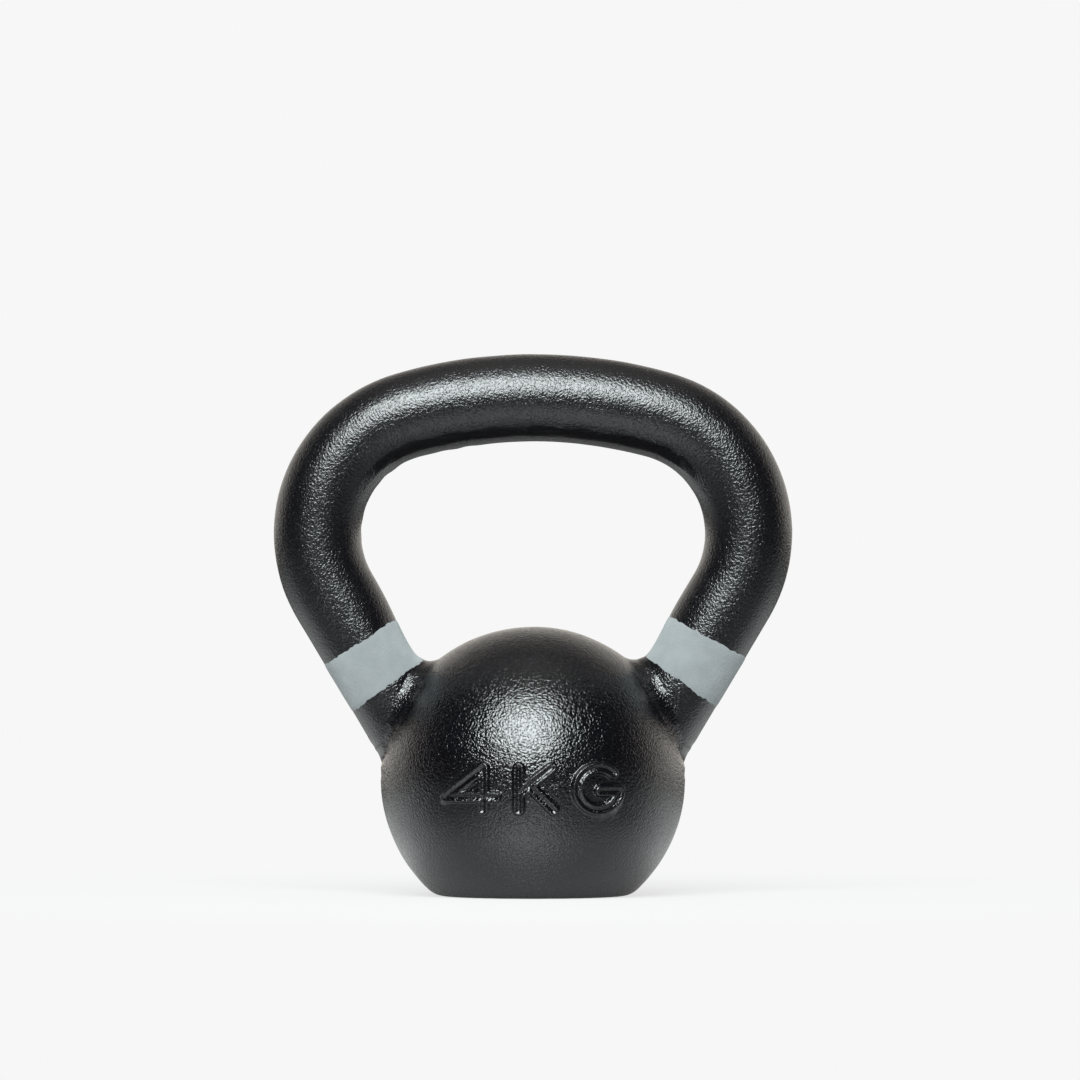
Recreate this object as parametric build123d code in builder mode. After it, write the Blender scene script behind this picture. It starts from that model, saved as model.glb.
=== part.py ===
from build123d import *
from math import asin, cos, degrees, radians, sin, sqrt
import os

# Kettlebell: ball, horns and grip cast in one piece of iron, with a painted colour band on each horn.
# Millimetres and degrees. The origin is the middle of the flat base, +Z is up,
# +X runs along the grip and -Y is the front.

# Driving dimensions of the casting
overall_height = 163.8  # from the base to the crown of the grip
handle_width = 156.9  # outside to outside, across the shoulders
ball_diameter = 92.0
ball_centre_height = 35.4  # less than the ball's radius, because the base is ground flat
base_edge_radius = 7.3
grip_diameter = 26.4
crown_radius = 144.2  # gentle arch of the grip, on its centreline
shoulder_radius = 37.2  # bend from the grip into a horn, on its centreline
horn_tilt = 30.9  # each horn's lean from the vertical, in towards the ball
root_radius = 5.3  # cast blend between a horn and the ball

# Driving dimensions of the colour bands, which are masked and painted by hand
band_width = 16.1  # along the horn's axis
left_band_gap = 6.5  # from the ball up to the band's lower edge, on the horn's axis
right_band_gap = 8.1
band_lower_tip = 5.4  # how much more than the upper edge the lower edge tips, to follow the root
band_thickness = 0.2  # film of paint

# Places that follow from the driving dimensions
ball_radius = ball_diameter / 2
grip_radius = grip_diameter / 2
ball_centre = Vector(0, 0, ball_centre_height)
crown_centre_height = overall_height - grip_radius - crown_radius
shoulder_reach = handle_width / 2 - grip_radius - shoulder_radius
crown_half_angle = degrees(asin(shoulder_reach / (crown_radius - shoulder_radius)))
shoulder_turn = 90 + horn_tilt - crown_half_angle


def up_horn(tilt):
    """Unit vector up and out along the right horn, at a tilt from the vertical."""
    return Vector(sin(radians(tilt)), 0, cos(radians(tilt)))


# Centreline of the right half of the handle: half the crown, a shoulder, and a horn
# that ends inside the ball, abreast of its centre
with BuildLine(Plane.XZ) as handle_line:
    half_crown = CenterArc((0, crown_centre_height), crown_radius, 90, -crown_half_angle)
    shoulder = JernArc(half_crown @ 1, half_crown % 1, shoulder_radius, -shoulder_turn)
    horn_length = (shoulder @ 1 - ball_centre).dot(up_horn(horn_tilt))
    horn = Line(shoulder @ 1, shoulder @ 1 - up_horn(horn_tilt) * horn_length)

# Point where the horn's axis comes out of the ball
axis_offset = (horn @ 1 - ball_centre).length
horn_foot = horn @ 1 + up_horn(horn_tilt) * sqrt(ball_radius**2 - axis_offset**2)


def cast_form(skin):
    """The outside of the casting, grown all over by the thickness of a skin."""
    with BuildPart() as form:
        # Handle: one round bar from horn to horn
        with BuildSketch(Plane(half_crown @ 0, x_dir=(0, 1, 0), z_dir=(1, 0, 0))):
            Circle(grip_radius + skin)
        sweep(path=handle_line.wire())
        mirror(about=Plane.YZ)
        # Ball, blended into both horns
        with Locations(Location(ball_centre, (0, 0, 90))):
            Sphere(ball_radius + skin)
        fillet(form.edges(Select.NEW), root_radius - skin)
        # Base, ground flat and eased at its edge
        split(bisect_by=Plane.XY, keep=Keep.TOP)
        fillet(form.faces().sort_by(Axis.Z)[0].edges(), base_edge_radius)
    return form.part


with BuildPart() as casting:
    add(cast_form(0))

painted_form = cast_form(band_thickness)


def colour_band(gap):
    """Film of paint round the right horn, over the horn and the edge of its blend."""
    lower_edge = horn_foot + up_horn(horn_tilt) * gap
    upper_edge = lower_edge + up_horn(horn_tilt) * band_width
    with BuildPart() as band:
        with BuildSketch(
            Plane(lower_edge, x_dir=(0, 1, 0), z_dir=up_horn(horn_tilt + band_lower_tip)),
            Plane(upper_edge, x_dir=(0, 1, 0), z_dir=up_horn(horn_tilt)),
        ):
            Circle(grip_radius + root_radius)
        loft()
        add(painted_form, mode=Mode.INTERSECT)
        add(casting.part, mode=Mode.SUBTRACT)
    return band.part


with BuildPart() as right_band:
    add(colour_band(right_band_gap))

with BuildPart() as left_band:
    mirror(colour_band(left_band_gap), about=Plane.YZ)

os.makedirs("parts", exist_ok=True)
nodes = {
    "casting": casting.part,
    "left_colour_band": left_band.part,
    "right_colour_band": right_band.part,
}
for name, part in nodes.items():
    part.label = name
    export_step(part, f"parts/{name}.step")
    print(name, len(part.solids()), "solid", round(part.volume, 1), "mm3")
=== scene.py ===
from math import acos, asin, atan2, cos, pi, radians, sin, sqrt

import bpy
import numpy as np
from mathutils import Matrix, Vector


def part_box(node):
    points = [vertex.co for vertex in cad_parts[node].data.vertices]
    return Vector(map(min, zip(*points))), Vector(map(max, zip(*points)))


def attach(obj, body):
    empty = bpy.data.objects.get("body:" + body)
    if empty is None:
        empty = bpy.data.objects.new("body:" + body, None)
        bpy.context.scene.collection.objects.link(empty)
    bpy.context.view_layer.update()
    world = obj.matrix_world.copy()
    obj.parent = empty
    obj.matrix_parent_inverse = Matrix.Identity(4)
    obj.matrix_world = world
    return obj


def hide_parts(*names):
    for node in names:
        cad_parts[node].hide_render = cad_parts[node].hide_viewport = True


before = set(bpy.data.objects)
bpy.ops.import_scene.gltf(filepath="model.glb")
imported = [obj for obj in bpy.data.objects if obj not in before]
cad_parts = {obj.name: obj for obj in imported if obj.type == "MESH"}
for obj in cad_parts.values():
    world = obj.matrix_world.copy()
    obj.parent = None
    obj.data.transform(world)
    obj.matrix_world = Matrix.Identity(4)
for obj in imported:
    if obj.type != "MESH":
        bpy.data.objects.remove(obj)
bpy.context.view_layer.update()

# Casting: ball, horns and grip are one piece of grey iron, poured in a sand mould that parts front
# from back. The flash along the parting line is ground off by hand, the base is ground flat, and
# the piece is finished with a black powder coat that cures to a fine pebbled skin.

# Sizes are in millimetres, and a mesh is written in metres
millimetre = 0.001
_, casting_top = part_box("casting")
overall_height = casting_top.z / millimetre
handle_half_width = casting_top.x / millimetre
ball_radius = 46.0
ball_z = 35.4  # height of the ball's centre
base_edge = 7.3  # easing where the ball meets the flat base
bar_radius = 13.2
crown_radius = 144.2
shoulder_radius = 37.2
horn_tilt = radians(30.9)
root_front = 2.6  # blend between a horn and the ball, on the front and back
root_inner = 5.6  # the same, in the corner of the window
tiny = 1e-9  # keeps a length off zero before a division

# The handle's centreline is the crown's arc, then a shoulder's arc, then a horn's straight line.
# A turn is the angle from straight up to the outward side of the bar, clockwise from the front.
crown_z = overall_height - bar_radius - crown_radius
shoulder_x = handle_half_width - bar_radius - shoulder_radius
shoulder_turn = asin(shoulder_x / (crown_radius - shoulder_radius))
shoulder_z = crown_z + (crown_radius - shoulder_radius) * cos(shoulder_turn)
horn_turn = pi / 2 + horn_tilt
horn_up = np.array([sin(horn_tilt), 0.0, cos(horn_tilt)])
horn_out = np.array([cos(horn_tilt), 0.0, -sin(horn_tilt)])
horn_top = np.array([shoulder_x, 0.0, shoulder_z]) + shoulder_radius * horn_out
ball_centre = np.array([0.0, 0.0, ball_z])

# Each horn is ground to a slight neck on the window's side, just above its root.
# Places along a horn are climbs up its axis, from abreast of the ball's centre.
neck_climb = 54.0
left_neck = {"depth": 1.6, "reach": 12.0}
right_neck = {"depth": 0.85, "reach": 8.0}

# The inside of the grip is ground off by hand in two flats, before and behind its lowest line
flat_slant = radians(50)  # from the front or back of the bar round to the middle of a flat
flat_depth = 0.25
flat_edge = 0.14  # how much the flats' edges are rounded over
ground_z = (119.0, 133.0)  # heights between which the grinding comes in
# Waves in a flat's depth along the grip: height, pace in radians per millimetre, and start
flat_waves = [(0.06, 0.47, 1.0), (0.05, 1.31, 0.0), (0.045, 2.4, 2.0)]


def smooth_step(low, high, value):
    """0 at low, 1 at high, and the cubic 3t^2 - 2t^3 between."""
    share = np.clip((value - low) / (high - low), 0, 1)
    return share * share * (3 - 2 * share)


def horn_climb(points):
    """Height of points along the nearer horn's axis, from abreast of the ball's centre."""
    return np.abs(points[:, 0]) * horn_up[0] + (points[:, 2] - ball_z) * horn_up[2]


def neck_cut(points, side):
    """Depth of the nearer horn's neck: a bell curve along the horn, on the side to the window."""
    left = points[:, 0] < 0
    depth = np.where(left, left_neck["depth"], right_neck["depth"])
    reach = np.where(left, left_neck["reach"], right_neck["reach"])
    bell = np.exp(-(((horn_climb(points) - neck_climb) / reach) ** 2))
    return depth * bell * smooth_step(0.1, 0.9, side)


def bar_gap(points):
    """Distance of points outside the handle's bar, the direction out of it, and the side they are on.

    The turn about a shoulder's centre tells whether crown, shoulder or horn is nearest, and past
    straight down it counts on beyond half a circle. The offset from that arc or line, with y and any
    overrun past the horn's lower end, gives the distance. The side goes from -1 on the outside of the
    loop to 1 on the side that faces the window. A flat cuts into the bar where its plane lies further
    in than the round: the greater of the two distances counts, softened at the edge. The flats' depth
    wavers along the grip, as a sum of sines.
    """
    hand = np.where(points[:, 0] < 0, -1.0, 1.0)
    x, y, z = np.abs(points[:, 0]), points[:, 1], points[:, 2]
    turn = np.arctan2(x - shoulder_x, z - shoulder_z)
    turn = np.where(turn < -pi / 3, turn + 2 * pi, turn)
    on_crown = turn < shoulder_turn
    past = np.where(turn > horn_turn, np.minimum(horn_climb(points), 0), 0)
    from_x = np.where(on_crown, x, x - shoulder_x)
    from_z = np.where(on_crown, z - crown_z, z - shoulder_z)
    turn = np.where(on_crown, np.arctan2(from_x, from_z), np.minimum(turn, horn_turn))
    offset = from_x * np.sin(turn) + from_z * np.cos(turn)
    offset -= np.where(on_crown, crown_radius, shoulder_radius)
    span = np.maximum(np.sqrt(offset**2 + y**2 + past**2), tiny)
    out = np.stack([hand * np.sin(turn) * offset, y, np.cos(turn) * offset], axis=1) / span[:, None]
    side = -offset / span
    ground = smooth_step(*ground_z, z)
    waver = sum(height * np.sin(pace * points[:, 0] + start) for height, pace, start in flat_waves)
    flat = np.abs(y) * cos(flat_slant) - offset * sin(flat_slant) + (flat_depth + waver) * ground
    round_or_flat = (span + flat + np.hypot(span - flat, flat_edge * ground)) / 2
    return round_or_flat - bar_radius + neck_cut(points, side), out, side


def ball_gap(points):
    """Distance of points outside the ball, and the direction out from its centre.

    The ball is a smaller ball, cut flat, with the edge's easing added all round: a point is nearest
    to the round part, to the flat base or to the rim between them.
    """
    across = np.hypot(points[:, 0], points[:, 1])
    rise = points[:, 2] - ball_z
    rim = sqrt((ball_radius - base_edge) ** 2 - (ball_z - base_edge) ** 2)
    on_round = across * (ball_z - base_edge) + rise * rim > 0
    eased = np.hypot(across - rim, points[:, 2] - base_edge) - base_edge
    below = np.where(across < rim, -points[:, 2], eased)
    span = np.hypot(across, rise)
    out = (points - ball_centre) / np.maximum(span, tiny)[:, None]
    return np.where(on_round, span - ball_radius, below), out


def casting_gap(points):
    """Distance of points outside the smooth casting: bar and ball joined by a rounded corner.

    Within reach of both surfaces the distance is the reach less the length of the two shortfalls.
    The reach shrinks where bar and ball meet at a shallow angle, as a rolled fillet's does.
    """
    bar, bar_out, side = bar_gap(points)
    ball, ball_out = ball_gap(points)
    blend = root_front + (root_inner - root_front) * smooth_step(0.2, 0.9, side)
    least_reach = 1e-6
    reach = blend * (1 - (bar_out * ball_out).sum(1)) + least_reach
    corner = np.hypot(np.maximum(reach - bar, 0), np.maximum(reach - ball, 0))
    return np.maximum(reach, np.minimum(bar, ball)) - corner


def outward(points):
    """Unit direction in which the distance grows, from differences over 0.01 mm along each axis."""
    step = 0.005
    slope = [casting_gap(points + shift) - casting_gap(points - shift) for shift in step * np.eye(3)]
    slope = np.stack(slope, axis=1)
    return slope / np.linalg.norm(slope, axis=1, keepdims=True)


def settle(points):
    """Points moved straight onto the smooth casting, by their distance from it, a few times over."""
    rounds = 7
    for _ in range(rounds):
        points = points - outward(points) * casting_gap(points)[:, None]
    return points


def ripple(points, wavelength, seed):
    """Random relief with a spread of one: plane waves of about one wavelength, added up."""
    draw = np.random.default_rng(seed)
    waves = 24
    way = draw.normal(size=(waves, 3))
    way /= np.linalg.norm(way, axis=1, keepdims=True)
    way *= 2 * pi / (wavelength * draw.uniform(0.75, 1.35, (waves, 1)))
    phase = draw.uniform(0, 2 * pi, waves)
    return np.cos(points @ way.T + phase).sum(1) * sqrt(2 / waves)


# The raised weight mark on the front, 4 KG: plain strokes with round ends, as seen from the front.
# A line is the x and z of its two ends, and an arc its centre, radius and two angles.
mark_z = 33.4  # height of the mark's middle
mark_height = 12.4  # on the strokes' centrelines
mark_crest = 1.15  # from a stroke's centreline to its raised rim
mark_foot = 1.85  # and to where it meets the ball, sloping so that the pattern leaves the sand
mark_relief = 1.4
mark_sunk = 0.65  # how far the middle of a stroke lies below its rim
mark_lines = [
    (-14.6, 0.0, -14.6, mark_height),  # the figure: upright, slant and bar
    (-14.6, mark_height, -25.6, 3.8),
    (-25.6, 3.8, -11.0, 3.8),
    (-4.2, 0.0, -4.2, mark_height),  # the first letter: upright, arm and leg
    (-4.2, 4.8, 5.4, mark_height),
    (-1.1, 7.2, 6.0, 0.0),
    (25.5, 5.6, 19.9, 5.6),  # the second letter's bar, on its arc
]
mark_arcs = [(19.3, mark_height / 2, mark_height / 2, radians(46), radians(354))]


def mark_height_at(points):
    """Height of the weight mark, by the gap from the nearest stroke's centreline.

    It rises from the sunken middle to the rim as a cosine squared falls to 0, and drops from the rim
    to the foot as a parabola. In an arc's opening, small angles belong to its end, the rest to its
    start.
    """
    x, z = points[:, 0], points[:, 2] - mark_z + mark_height / 2
    gap = np.full(len(points), np.inf)
    for x0, z0, x1, z1 in mark_lines:
        along = ((x - x0) * (x1 - x0) + (z - z0) * (z1 - z0)) / ((x1 - x0) ** 2 + (z1 - z0) ** 2)
        along = np.clip(along, 0, 1)
        from_line = np.hypot(x - x0 - along * (x1 - x0), z - z0 - along * (z1 - z0))
        gap = np.minimum(gap, from_line)
    for x0, z0, radius, start, end in mark_arcs:
        angle = np.arctan2(z - z0, x - x0) % (2 * pi)
        angle = np.where(angle < start / 2, end, np.clip(angle, start, end))
        from_arc = np.hypot(x - x0 - radius * np.cos(angle), z - z0 - radius * np.sin(angle))
        gap = np.minimum(gap, from_arc)
    hollow = np.cos(pi / 2 * np.clip(gap / mark_crest, 0, 1)) ** 2
    fall = np.clip((gap - mark_crest) / (mark_foot - mark_crest), 0, 1) ** 2
    return np.where(points[:, 1] < 0, mark_relief * (1 - fall) - mark_sunk * hollow, 0)


def dressed_share(points):
    """1 on the handle, which is dressed smoother than the ball before coating, and 0 on the ball."""
    ball, _ = ball_gap(points)
    return smooth_step(1, 9, ball)


def ground_share(points):
    """1 on the grip's two flats, which grinding leaves nearly smooth, and 0 elsewhere."""
    _, _, side = bar_gap(points)
    flats = smooth_step(0.5, 0.74, side) * smooth_step(0.95, 0.86, side)
    return flats * smooth_step(*ground_z, points[:, 2])


# Heights of the relief that the mould and the grinding leave, and where they leave it
wave_height = 0.03
ripple_height = 0.012
streak_height = 0.11
streak_spread = 14.0  # square of the streaks' reach from the corner between horn and ball
scratch_height = 0.012
drawn_out = 0.12  # share of a length that is counted along a streak or a scratch
flash_height = 0.16
flash_half_width = 0.9
flash_x = (-8.0, -24.0)  # places between which the flash comes in
flash_z = (100.0, 112.0)
shoulder_patch = (-54.0, 149.0)  # x and z of the left shoulder's top
patch_depth = 0.42
patch_reach = 22.0


def cast_relief(points):
    """How far the real casting stands off the smooth one, from mould, grinding and weight mark.

    The mould adds long faint waves, and streaks round each root, as waves drawn out round the horn.
    Grinding leaves faint scratches along the grip's flats, as waves drawn out along them, and the
    left shoulder's top is ground a little flatter. A rag of flash is left inside the window's left
    shoulder. All of it fades out towards the flat base.
    """
    bar, _, side = bar_gap(points)
    ball, _ = ball_gap(points)
    waves = wave_height * ripple(points, wavelength=26, seed=1)
    waves += ripple_height * ripple(points, wavelength=8, seed=2)
    across = np.abs(points[:, 0]) * horn_out[0] + (points[:, 2] - ball_z) * horn_out[2]
    round_horn = np.stack([drawn_out * across, drawn_out * points[:, 1], horn_climb(points)], axis=1)
    in_corner = np.exp(-(bar**2 + ball**2) / streak_spread)
    streaks = streak_height * ripple(round_horn, wavelength=1.9, seed=3) * in_corner
    along_grip = points * [drawn_out, 1, 1]
    scratches = scratch_height * ripple(along_grip, wavelength=2.4, seed=5) * ground_share(points)
    inside = smooth_step(0.6, 0.95, side) * smooth_step(*flash_x, points[:, 0])
    on_parting = np.exp(-((points[:, 1] / flash_half_width) ** 2))
    rag = (0.5 + 0.5 * ripple(points, wavelength=5, seed=4)) * on_parting
    flash = flash_height * rag * inside * smooth_step(*flash_z, points[:, 2])
    from_patch = np.hypot(points[:, 0] - shoulder_patch[0], points[:, 2] - shoulder_patch[1])
    flatter = patch_depth * np.exp(-((from_patch / patch_reach) ** 2)) * smooth_step(-0.4, -0.95, side)
    above_base = smooth_step(0.0, 4.0, points[:, 2])
    return (waves + streaks + scratches + flash - flatter) * above_base + mark_height_at(points)


# The casting's surface is one grid that closes both ways. Rows follow the loop from the middle of
# the grip down one horn, through the ball and up the other horn. Columns go round each section.
pencil_z = 125.0  # the ball's sections lie in planes that fan out from a line at this height
ring_radius = 19.0  # section where the ball takes over from the root
ring_fan = asin(sqrt(ball_radius**2 - ring_radius**2) / (pencil_z - ball_z))
mark_half_width = 28.5  # with a margin, where the rows lie close together
mark_fan = atan2(mark_half_width, pencil_z - mark_z)
root_climb = 56.0  # where the horn's round sections start to tip into the ball's
crown_rows = 28
bend_rows = 37
horn_rows = 15
root_rows = 48
ball_rows = 25
mark_rows = 94
columns = 204
mark_edge = (0.34, 0.17)  # angles from the mark's middle between which the columns crowd together
behind_density = 0.115  # share of the columns' density that is left away from the mark


def fan_section(fan):
    """Centre, turn and radius of the circle in which a fan plane cuts the ball."""
    drop = pencil_z - ball_z
    reach = drop * np.cos(fan)
    centre = np.stack([reach * np.sin(fan), pencil_z - reach * np.cos(fan)], axis=1)
    return centre, pi - fan, np.sqrt(ball_radius**2 - (drop * np.sin(fan)) ** 2)


def half_loop():
    """Centres (x, z), turns, radii and crowding of the sections, from mid grip to mid ball.

    Sections lie on the crown's and shoulder's arcs and the horn's line. In the root they run in equal
    steps from the last of the horn to the first of the ball, where the fan takes over. Crowding goes
    from 0 on the bar, where the columns are evenly spread, to 1 on the ball.
    """
    crown = np.linspace(0, shoulder_turn, crown_rows)
    bend = np.linspace(shoulder_turn, horn_turn, bend_rows)[1:]
    horn_length = (horn_top - ball_centre) @ horn_up - root_climb
    slide = np.linspace(0, horn_length, horn_rows)[1:]
    root = np.linspace(0, 1, root_rows)[1:-1]
    beside_mark = np.linspace(ring_fan, mark_fan, ball_rows)
    on_mark = np.linspace(mark_fan, 0, mark_rows)[1:]
    crown_centre = np.stack([np.sin(crown), np.cos(crown)], axis=1) * crown_radius + [0, crown_z]
    bend_centre = np.stack([np.sin(bend), np.cos(bend)], axis=1) * shoulder_radius
    bend_centre += [shoulder_x, shoulder_z]
    slide_centre = horn_top[[0, 2]] - slide[:, None] * horn_up[[0, 2]]
    fan_centre, fan_turn, fan_radius = fan_section(np.concatenate([beside_mark, on_mark]))
    ease = root[:, None]
    root_centre = slide_centre[-1] * (1 - ease) + fan_centre[0] * ease
    root_turn = horn_turn + (fan_turn[0] - horn_turn) * root
    root_size = bar_radius + (fan_radius[0] - bar_radius) * root
    centre = np.concatenate([crown_centre, bend_centre, slide_centre, root_centre, fan_centre])
    turn = np.concatenate([crown, bend, np.full(len(slide), horn_turn), root_turn, fan_turn])
    bars = len(crown) + len(bend) + len(slide)
    radius = np.concatenate([np.full(bars, bar_radius), root_size, fan_radius])
    crowd = np.concatenate([np.zeros(bars), root, np.ones(len(fan_turn))])
    return centre, turn, radius, crowd


def crowded_angles():
    """Angles from the mark's middle round a ball section, close together on it and wide apart behind.

    The columns' density falls from 1 on the mark to a small share. Its running sum, read backwards by
    interpolation, gives each column an equal share of the count.
    """
    samples = 4001
    angle = np.linspace(-pi, pi, samples)
    density = behind_density + (1 - behind_density) * smooth_step(*mark_edge, np.abs(angle))
    count = np.cumsum(density) - density[0]
    return np.interp(np.arange(columns) / columns, count / count[-1], angle)


def casting_points():
    """Circles carried round the loop, settled onto the smooth casting and given its relief.

    The left half of the loop mirrors the right one, without the two sections that they share.
    """
    centre, turn, radius, crowd = half_loop()
    mirror = slice(-2, 0, -1)
    centre = np.concatenate([centre, centre[mirror] * [-1, 1]])
    turn = np.concatenate([turn, 2 * pi - turn[mirror]])
    radius = np.concatenate([radius, radius[mirror]])[:, None]
    crowd = np.concatenate([crowd, crowd[mirror]])[:, None]
    even = np.arange(columns) * 2 * pi / columns - pi
    angle = acos((mark_z - ball_z) / ball_radius) + even * (1 - crowd) + crowded_angles() * crowd
    inward = radius * np.cos(angle)
    x = centre[:, :1] - inward * np.sin(turn)[:, None]
    y = -radius * np.sin(angle)
    z = centre[:, 1:] - inward * np.cos(turn)[:, None]
    smooth = settle(np.stack([x, y, z], axis=2).reshape(-1, 3))
    rough = smooth + outward(smooth) * cast_relief(smooth)[:, None]
    return rough.reshape(len(centre), columns, 3)


def closed_grid(name, points):
    """Piece whose surface is a grid of points, rows by columns, that closes both ways.

    Each point carries how far the casting is dressed and ground there, for the finish.
    """
    index = np.arange(points.shape[0] * points.shape[1]).reshape(points.shape[:2])
    beside = np.roll(index, -1, axis=1)
    quads = np.stack([index, beside, np.roll(beside, -1, axis=0), np.roll(index, -1, axis=0)], axis=2)
    mesh = bpy.data.meshes.new(name)
    mesh.from_pydata((points.reshape(-1, 3) * millimetre).tolist(), [], quads.reshape(-1, 4).tolist())
    mesh.polygons.foreach_set("use_smooth", np.ones(len(mesh.polygons), dtype=bool))
    for finish, share in (("dressed", dressed_share), ("ground", ground_share)):
        values = share(points.reshape(-1, 3)).astype(np.float32)
        mesh.attributes.new(finish, "FLOAT", "POINT").data.foreach_set("value", values)
    piece = bpy.data.objects.new(name, mesh)
    bpy.context.scene.collection.objects.link(piece)
    return piece


def node(tree, kind, values=None, **settings):
    """Shader node with its settings, and with values on the inputs named."""
    made = tree.nodes.new(kind)
    for name, value in settings.items():
        setattr(made, name, value)
    for name, value in (values or {}).items():
        made.inputs[name].default_value = value
    return made


def result(tree, kind, *values, **settings):
    """First output of a new node, with numbers or other nodes' outputs on its inputs in order."""
    made = node(tree, kind, **settings)
    for socket, value in zip(made.inputs, values):
        if isinstance(value, bpy.types.NodeSocket):
            tree.links.new(value, socket)
        else:
            socket.default_value = value
    return made.outputs[0]


def times(tree, first, second):
    """Output of first times second."""
    return result(tree, "ShaderNodeMath", first, second, operation="MULTIPLY")


def times_plus(tree, first, second, third):
    """Output of first times second, plus third."""
    return result(tree, "ShaderNodeMath", first, second, third, operation="MULTIPLY_ADD")


def ramp(tree, value, start, end, low, high, **settings):
    """Output that goes from low to high as the value goes from start to end, and stays level beyond."""
    return result(tree, "ShaderNodeMapRange", value, start, end, low, high, **settings)


def tone_between(tree, share, first, second):
    """Colour from first to second by a share, which is held between 0 and 1."""
    tone = node(tree, "ShaderNodeMix", data_type="RGBA")
    tree.links.new(share, tone.inputs["Factor"])
    for socket, colour in ((tone.inputs[6], first), (tone.inputs[7], second)):
        if isinstance(colour, bpy.types.NodeSocket):
            tree.links.new(colour, socket)
        else:
            socket.default_value = (*colour, 1)
    return tone.outputs[2]


def pebble_group():
    """Group for the pebbled skin: small drawn-out domes, and a mottle about a centimetre across.

    The domes are noise raised to a power, which narrows them. The mottle is noise of several sizes.
    """
    group = bpy.data.node_groups.new("pebbled_skin", "ShaderNodeTree")
    for name, kind in (("Position", "NodeSocketVector"), ("Pebbles per metre", "NodeSocketFloat")):
        group.interface.new_socket(name, in_out="INPUT", socket_type=kind)
    for name in ("Height", "Mottle"):
        group.interface.new_socket(name, in_out="OUTPUT", socket_type="NodeSocketFloat")
    start, end = node(group, "NodeGroupInput"), node(group, "NodeGroupOutput")
    link = group.links.new
    pebble = node(group, "ShaderNodeTexNoise", {"Detail": 1.0, "Roughness": 0.5, "Distortion": 0.5})
    link(start.outputs["Position"], pebble.inputs["Vector"])
    link(start.outputs["Pebbles per metre"], pebble.inputs["Scale"])
    dome_power = 1.6
    dome = result(group, "ShaderNodeMath", pebble.outputs["Fac"], dome_power, operation="POWER")
    link(dome, end.inputs["Height"])
    mottle = node(group, "ShaderNodeTexNoise", {"Scale": 120.0, "Detail": 5.0, "Roughness": 0.6})
    link(start.outputs["Position"], mottle.inputs["Vector"])
    link(mottle.outputs["Fac"], end.inputs["Mottle"])
    return group


pebbled_skin = pebble_group()
pebbles_per_metre = 1420.0  # so that they come out a little under a millimetre apart
dressed_height = 0.93  # share of the pebbles' height that dressing leaves
dressed_dulling = 0.09  # roughness that dressing adds
ground_height = 0.2  # share of height and dulling that grinding leaves
ground_rag = 2.2  # how strongly the mottle tears the edge of the ground area
ground_edge = (1.4, 1.9)  # torn shares between which the coat goes from pebbled to ground


def skin_material(name, dark, light, roughness, pebble_height):
    """Finish over the pebbled skin: two mottled tones, a range of roughness, and pebbles as bump.

    On dressed parts the pebbles are a little lower and the finish duller. On ground parts both nearly
    go. The mottle is added to the ground share, which leaves the ground parts a ragged edge.
    """
    material = bpy.data.materials.new(name)
    material.use_nodes = True
    tree = material.node_tree
    link = tree.links.new
    shader = tree.nodes["Principled BSDF"]
    place = node(tree, "ShaderNodeTexCoord")
    density = {"Pebbles per metre": pebbles_per_metre}
    skin = node(tree, "ShaderNodeGroup", density, node_tree=pebbled_skin)
    link(place.outputs["Object"], skin.inputs["Position"])
    height, mottle = skin.outputs["Height"], skin.outputs["Mottle"]
    link(tone_between(tree, mottle, dark, light), shader.inputs["Base Color"])
    dressed = node(tree, "ShaderNodeAttribute", attribute_name="dressed").outputs["Fac"]
    ground = node(tree, "ShaderNodeAttribute", attribute_name="ground").outputs["Fac"]
    torn = times_plus(tree, mottle, ground_rag, ground)
    unground = ramp(tree, torn, *ground_edge, 1.0, ground_height)
    gloss = ramp(tree, mottle, 0.0, 1.0, *roughness)
    dulled = times(tree, dressed, unground)
    link(times_plus(tree, dulled, dressed_dulling, gloss), shader.inputs["Roughness"])
    left_by_dressing = ramp(tree, dressed, 0.0, 1.0, 1.0, dressed_height)
    left_over = times(tree, left_by_dressing, unground)
    bump = node(tree, "ShaderNodeBump", {"Strength": 1.0, "Distance": pebble_height})
    link(times(tree, height, left_over), bump.inputs["Height"])
    link(bump.outputs["Normal"], shader.inputs["Normal"])
    return material, shader


def powder_coat():
    """Black powder coat: blue-black, half glossy, on full pebbles."""
    dark, light = (0.0017, 0.0017, 0.0032), (0.0038, 0.0039, 0.006)
    roughness, pebble_height = (0.14, 0.22), 0.00022
    material, shader = skin_material("powder_coat", dark, light, roughness, pebble_height)
    shader.inputs["IOR"].default_value = 1.62
    shader.inputs["Specular IOR Level"].default_value = 1.0
    return material


casting = closed_grid("cast_kettlebell", casting_points())
casting.data.materials.append(powder_coat())
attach(casting, "root")
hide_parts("casting")

# Colour bands: a ring of grey paint round each horn, just above its root. The horn is masked and
# brushed by hand over the cured coat, so the edges waver, and the film rounds off at its rim.
film = 0.2
bury = 0.15  # how far the film's hidden side lies under the coat
slow_waver = 0.07
quick_waver = 0.12
# Each edge is its climb up the horn, and its drop towards the window
left_band = {"lower": (46.45, -1.25), "upper": (62.4, -0.3), "seed": 11}
right_band = {"lower": (47.95, -1.15), "upper": (64.1, 0.6), "seed": 12}
round_steps = 260
face_steps = 41
hidden_steps = 12


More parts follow.
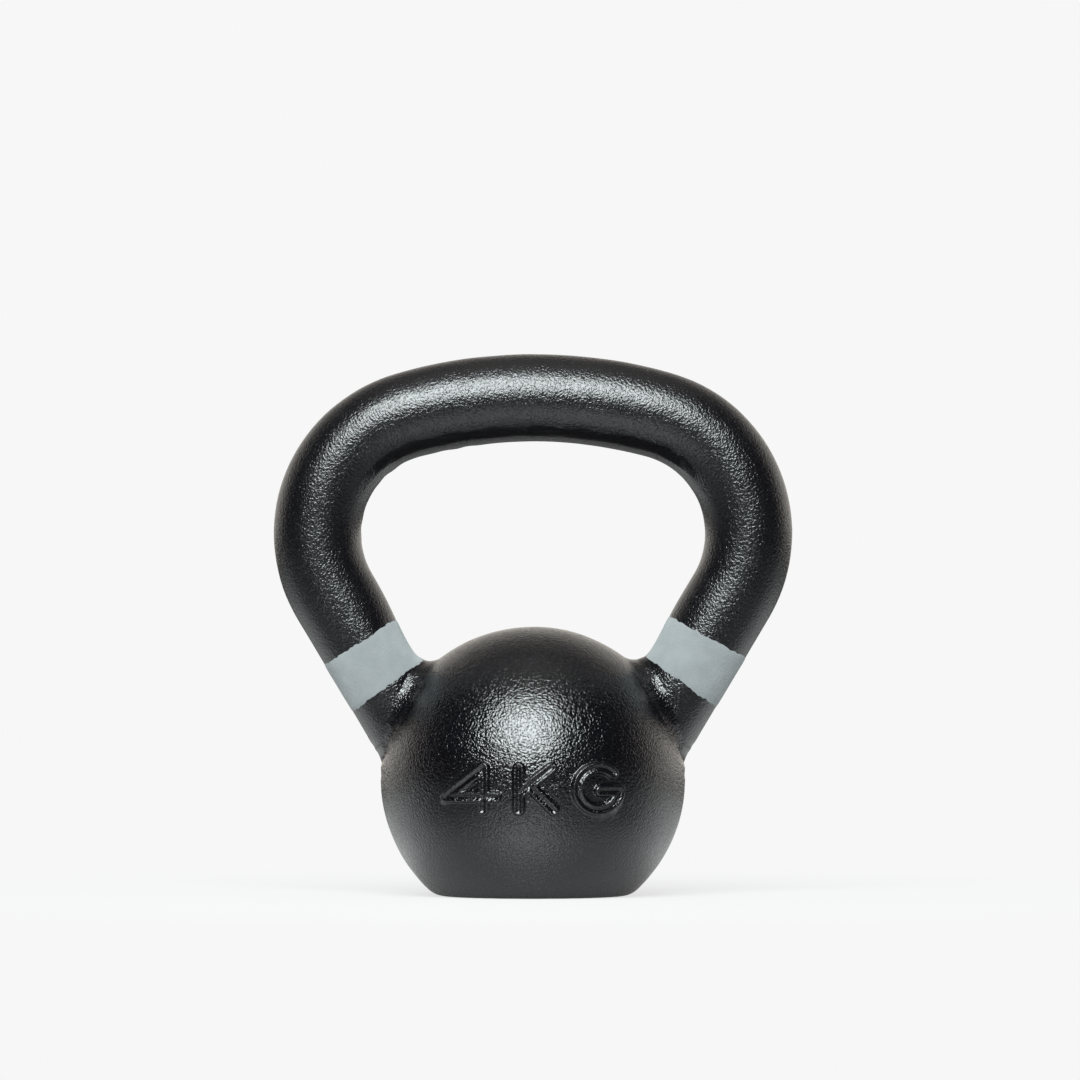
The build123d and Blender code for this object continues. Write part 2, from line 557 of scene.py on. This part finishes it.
def band_edge(around, climb, drop, seed):
    """Climb of a band's edge round the horn: a middle, a drop towards the window, and a waver."""
    circle = np.stack([np.cos(around), np.sin(around), 0 * around], axis=1) * bar_radius
    waver = slow_waver * ripple(circle, wavelength=8, seed=seed)
    waver += quick_waver * ripple(circle, wavelength=2.2, seed=seed + 50)
    return climb - drop * np.cos(around) + waver


def band_points(hand, lower, upper, seed):
    """A flat loop, outer face then hidden face, carried round the horn between two wavering edges.

    The outer face's height is the root of 1 less the eighth power of the way from its middle to its
    rim. The left band's rows run backwards, which keeps its faces pointing outwards.
    """
    around = np.linspace(0, 2 * pi, round_steps, endpoint=False)
    low = band_edge(around, *lower, seed)[:, None]
    high = band_edge(around, *upper, seed + 20)[:, None]
    face = np.sin(np.linspace(-pi / 2, pi / 2, face_steps))
    hidden = np.linspace(1, 0, hidden_steps)[1:-1]
    climb = low + (high - low) * np.concatenate([0.5 + 0.5 * face, hidden])
    crown = (film + bury) * np.sqrt(1 - face**8) - bury
    height = np.concatenate([crown, np.full(len(hidden), -bury)])
    spoke = -np.cos(around)[:, None] * horn_out + np.sin(around)[:, None] * [0.0, -1.0, 0.0]
    axis = ball_centre + horn_out * ((horn_top - ball_centre) @ horn_out)
    points = axis + climb[..., None] * horn_up + bar_radius * spoke[:, None]
    points = points * [hand, 1, 1]
    smooth = settle(points.reshape(-1, 3))
    lift = cast_relief(smooth) + np.tile(height, len(around))
    film_points = (smooth + outward(smooth) * lift[:, None]).reshape(points.shape)
    return film_points if hand > 0 else film_points[::-1]


def band_paint():
    """Grey paint: flat and mottled, over the same pebbles, which it partly fills."""
    dark, light = (0.292, 0.319, 0.325), (0.475, 0.503, 0.509)
    roughness, pebble_height = (0.5, 0.62), 0.00018
    material, shader = skin_material("band_paint", dark, light, roughness, pebble_height)
    shader.inputs["Diffuse Roughness"].default_value = 1.0
    return material


grey_paint = band_paint()
for name, hand, made in (("left", -1, left_band), ("right", 1, right_band)):
    band = closed_grid(f"{name}_painted_band", band_points(hand, **made))
    band.data.materials.append(grey_paint)
    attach(band, "root")
    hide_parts(f"{name}_colour_band")

# Studio: a white floor that runs up into a white sweep behind, one large soft box above the camera,
# and a dark room in front and to the sides. The camera stands three metres off and looks level.
# Lengths are in metres from here on.
backdrop_white = 0.93
ambient = 0.22  # even light from the room, for matt surfaces
sweep_way = (0.06, 1.0, 0.0)  # the sweep stands behind, and a little to the right
sweep_tint = (1.0, 0.95, 0.88)
sweep_side = 0.02  # brightness of the sweep beside the object
sweep_middle = 1.18  # and straight behind, where more than 1 is held at 1
sweep_spread = (0.0, 0.85)  # cosines, from the sweep's middle, between which it grows bright
sweep_top = 0.13  # share of it that is left high up
sweep_rise = (0.1, 0.75)  # sines of the angles above level between which it dims
ceiling_spill = 0.27
spill_rise = (0.8, 1.0)  # sines of the angles between which the ceiling's glow comes in


def studio_world():
    """White to the camera, an even grey to matt surfaces, and to glossy ones the sweep behind.

    The sweep grows brighter from the sides to straight behind, and dims with height. The soft box's
    spill on the ceiling glows straight above.
    """
    world = bpy.data.worlds.new("studio")
    bpy.context.scene.world = world
    world.use_nodes = True
    world.cycles.sampling_method = "NONE"
    tree = world.node_tree
    link = tree.links.new
    way = node(tree, "ShaderNodeTexCoord").outputs["Generated"]
    turned = node(tree, "ShaderNodeVectorMath", operation="DOT_PRODUCT")
    turned.inputs[1].default_value = sweep_way
    link(way, turned.inputs[0])
    split = node(tree, "ShaderNodeSeparateXYZ")
    link(way, split.inputs[0])
    eased = {"interpolation_type": "SMOOTHSTEP"}
    behind = ramp(tree, turned.outputs["Value"], *sweep_spread, sweep_side, sweep_middle, **eased)
    height = ramp(tree, split.outputs["Z"], *sweep_rise, 1.0, sweep_top)
    spill = ramp(tree, split.outputs["Z"], *spill_rise, 0.0, ceiling_spill)
    sweep = tone_between(tree, times_plus(tree, behind, height, spill), (0, 0, 0), sweep_tint)
    rays = node(tree, "ShaderNodeLightPath")
    lit = tone_between(tree, rays.outputs["Is Glossy Ray"], (ambient, ambient, ambient), sweep)
    backdrop = (backdrop_white, backdrop_white, backdrop_white)
    seen = tone_between(tree, rays.outputs["Is Camera Ray"], lit, backdrop)
    link(seen, tree.nodes["Background"].inputs["Color"])


floor_half = 3.0
floor_colour = 0.75
floor_lit = 0.63  # how bright that colour comes out where nothing shades the floor
shadow_share = 0.35  # of the lit floor in what the camera sees, close to the object
shadow_reach = (0.03, 0.25)  # distances from the object over which that share fades to nothing
pool_close = 0.36  # the floor's brightness in reflections, close to the object
pool_wide = 0.15  # and further off
pool_behind = 0.79  # added behind the object
pool_far = 0.08  # share of that which is left far behind
pool_hidden = 0.35  # and share which is left straight behind, where the object hides the soft box
pool_lit = 0.85  # share of the pool that the soft box lights, and the object shades
pool_even = 0.3  # share that the rest of the room lights evenly
# Ranges over which the pool changes: distances from the object's middle, y, or distances aside
pool_front_y = (-0.36, -0.2)
pool_end = (0.5, 0.7)
pool_near = (0.06, 0.1)
pool_behind_y = (-0.04, 0.03)
pool_fade = (0.06, 0.5)
pool_hidden_side = (0.032, 0.058)
floor_sheen = 0.095


def floor_white():
    """White floor. The camera sees an even white, in which the lit floor has a share near the object.

    Glossy surfaces see a pool of light with an edge in front and a round end at the sides. It is
    brighter close to the object, and brighter still behind it, where it fades slowly and is darker
    straight behind. They also see the soft box's sheen. Matt surfaces see the plain lit floor.
    """
    material = bpy.data.materials.new("floor_white")
    material.use_nodes = True
    material.cycles.emission_sampling = "NONE"
    tree = material.node_tree
    tree.nodes.clear()
    link = tree.links.new
    place = node(tree, "ShaderNodeTexCoord").outputs["Object"]
    length = node(tree, "ShaderNodeVectorMath", operation="LENGTH")
    link(place, length.inputs[0])
    away = length.outputs["Value"]
    split = node(tree, "ShaderNodeSeparateXYZ")
    link(place, split.inputs[0])
    back = split.outputs["Y"]
    aside = result(tree, "ShaderNodeMath", split.outputs["X"], operation="ABSOLUTE")

    plain = result(tree, "ShaderNodeBsdfDiffuse", (floor_colour, floor_colour, floor_colour, 1))

    share = ramp(tree, away, *shadow_reach, shadow_share * floor_colour, 0.0)
    shaded = result(tree, "ShaderNodeBsdfDiffuse", share)
    glow = node(tree, "ShaderNodeEmission")
    least_white = backdrop_white - shadow_share * floor_lit
    unshaded = ramp(tree, away, *shadow_reach, least_white, backdrop_white)
    link(unshaded, glow.inputs["Strength"])
    white = result(tree, "ShaderNodeAddShader", shaded, glow.outputs[0])

    front_edge = ramp(tree, back, *pool_front_y, 0.0, 1.0)
    round_end = ramp(tree, away, *pool_end, 1.0, 0.0)
    around = ramp(tree, away, *pool_near, pool_close, pool_wide)
    behind = ramp(tree, back, *pool_behind_y, 0.0, pool_behind)
    fading = ramp(tree, away, *pool_fade, 1.0, pool_far)
    hidden = ramp(tree, aside, *pool_hidden_side, pool_hidden, 1.0)
    table = times(tree, front_edge, round_end)
    pool = times_plus(tree, around, table, times(tree, times(tree, behind, fading), hidden))
    lit = result(tree, "ShaderNodeBsdfDiffuse", times(tree, pool, pool_lit))
    even = node(tree, "ShaderNodeEmission")
    link(times(tree, pool, pool_even), even.inputs["Strength"])
    sheen_colour = (floor_sheen, floor_sheen, floor_sheen, 1)
    sheen = node(tree, "ShaderNodeBsdfAnisotropic", {"Color": sheen_colour, "Roughness": 0.3})
    matt = result(tree, "ShaderNodeAddShader", lit, even.outputs[0])
    glossy = result(tree, "ShaderNodeAddShader", matt, sheen.outputs[0])

    rays = node(tree, "ShaderNodeLightPath").outputs
    by_camera = result(tree, "ShaderNodeMixShader", rays["Is Camera Ray"], plain, white)
    by_gloss = result(tree, "ShaderNodeMixShader", rays["Is Glossy Ray"], by_camera, glossy)
    link(by_gloss, node(tree, "ShaderNodeOutputMaterial").inputs["Surface"])
    return material


studio_world()
floor_corners = np.array([(-1, -1, 0), (1, -1, 0), (1, 1, 0), (-1, 1, 0)]) * floor_half
floor_mesh = bpy.data.meshes.new("floor")
floor_mesh.from_pydata(floor_corners.tolist(), [], [(0, 1, 2, 3)])
floor = bpy.data.objects.new("floor", floor_mesh)
bpy.context.scene.collection.objects.link(floor)
floor_mesh.materials.append(floor_white())

box_climb = radians(38.8)  # angle of the soft box above level, seen from the object
box_distance = 2.5
box_x = -0.27
box_aim_z = 0.08
soft_box = bpy.data.lights.new("soft_box", "AREA")
soft_box.shape = "ELLIPSE"
soft_box.size = 2.08
soft_box.size_y = 1.86
soft_box.energy = 77
soft_box.color = (0.93, 1.0, 1.01)
soft_box_place = bpy.data.objects.new("soft_box", soft_box)
bpy.context.scene.collection.objects.link(soft_box_place)
soft_box_z = box_aim_z + box_distance * sin(box_climb)
soft_box_place.location = (box_x, -box_distance * cos(box_climb), soft_box_z)
soft_box_place.rotation_euler = (pi / 2 - box_climb, 0, 0)

camera_distance = 3.0
camera_x = 0.0021
camera_z = 0.1076
picture_width = 0.3267  # across the picture, at the object
lens = bpy.data.cameras.new("camera")
lens.sensor_width = 36.0
lens.lens = lens.sensor_width * camera_distance / picture_width
camera = bpy.data.objects.new("camera", lens)
bpy.context.scene.collection.objects.link(camera)
camera.location = (camera_x, -camera_distance, camera_z)
camera.rotation_euler = (pi / 2, 0, 0)
bpy.context.scene.camera = camera
bpy.context.scene.view_settings.view_transform = "Standard"
